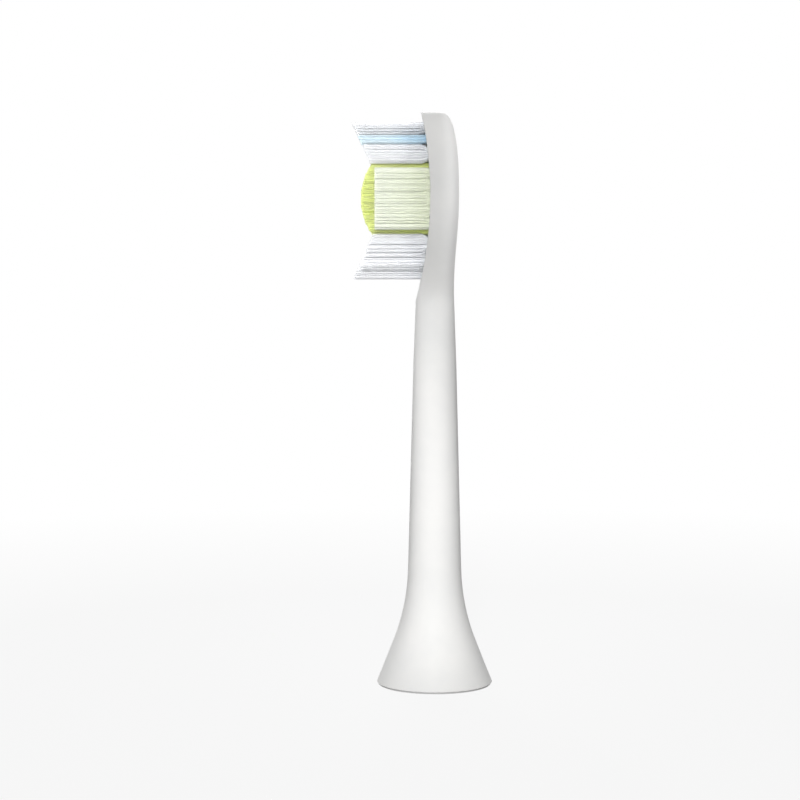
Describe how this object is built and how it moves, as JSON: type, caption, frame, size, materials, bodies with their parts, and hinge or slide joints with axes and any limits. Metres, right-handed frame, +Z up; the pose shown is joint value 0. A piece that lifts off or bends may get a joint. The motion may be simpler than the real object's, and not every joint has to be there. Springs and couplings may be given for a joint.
{
  "type": "electric toothbrush head",
  "caption": "Clip-on electric toothbrush head: flared hollow skirt, slim tapering neck and an oblong dished plate with tufted bristles trimmed in an arched, stepped profile.",
  "frame": {"origin": "middle of the skirt's rim, on the plane the head stands on", "axes": "+Z up the neck to the tip of the plate, -Y the way the bristles point, +X across the plate"},
  "size_m": [0.0178, 0.0217, 0.088],
  "materials": {
    "body_plastic": "smooth moulded, opaque white",
    "insert_plastic": "moulded acetal, off-white",
    "spring_steel": "rolled spring strip",
    "anchor_brass": "cut flat wire",
    "bristle_white": "nylon filaments, slightly translucent",
    "bristle_blue": "nylon filaments, pale blue",
    "bristle_green": "nylon filaments, yellow-green"
  },
  "bodies": {
    "root": {"brush_body": "body_plastic", "core_tuft_green_left_1": "bristle_green", "core_tuft_green_left_2": "bristle_green", "core_tuft_green_left_3": "bristle_green", "core_tuft_green_left_4": "bristle_green", "core_tuft_green_left_5": "bristle_green", "core_tuft_green_middle_1": "bristle_green", "core_tuft_green_middle_2": "bristle_green", "core_tuft_green_middle_3": "bristle_green", "core_tuft_green_middle_4": "bristle_green", "core_tuft_green_right_1": "bristle_green", "core_tuft_green_right_2": "bristle_green", "core_tuft_green_right_3": "bristle_green", "core_tuft_green_right_4": "bristle_green", "core_tuft_green_right_5": "bristle_green", "coupling_insert": "insert_plastic", "heel_tuft_white_1_1": "bristle_white", "heel_tuft_white_1_2": "bristle_white", "heel_tuft_white_1_3": "bristle_white", "heel_tuft_white_1_4": "bristle_white", "heel_tuft_white_2_1": "bristle_white", "heel_tuft_white_2_2": "bristle_white", "heel_tuft_white_2_3": "bristle_white", "heel_tuft_white_3_1": "bristle_white", "heel_tuft_white_3_2": "bristle_white", "heel_tuft_white_inner": "bristle_white", "retaining_spring": "spring_steel", "side_tuft_white_left_1": "bristle_white", "side_tuft_white_left_2": "bristle_white", "side_tuft_white_left_3": "bristle_white", "side_tuft_white_left_4": "bristle_white", "side_tuft_white_left_5": "bristle_white", "side_tuft_white_right_1": "bristle_white", "side_tuft_white_right_2": "bristle_white", "side_tuft_white_right_3": "bristle_white", "side_tuft_white_right_4": "bristle_white", "side_tuft_white_right_5": "bristle_white", "tip_tuft_blue_2_1": "bristle_blue", "tip_tuft_blue_2_2": "bristle_blue", "tip_tuft_blue_2_3": "bristle_blue", "tip_tuft_white_1_1": "bristle_white", "tip_tuft_white_1_2": "bristle_white", "tip_tuft_white_1_3": "bristle_white", "tip_tuft_white_1_4": "bristle_white", "tip_tuft_white_3_1": "bristle_white", "tip_tuft_white_3_2": "bristle_white", "tip_tuft_white_inner": "bristle_white", "tuft_anchors": "anchor_brass"}
  },
  "joints": []
}
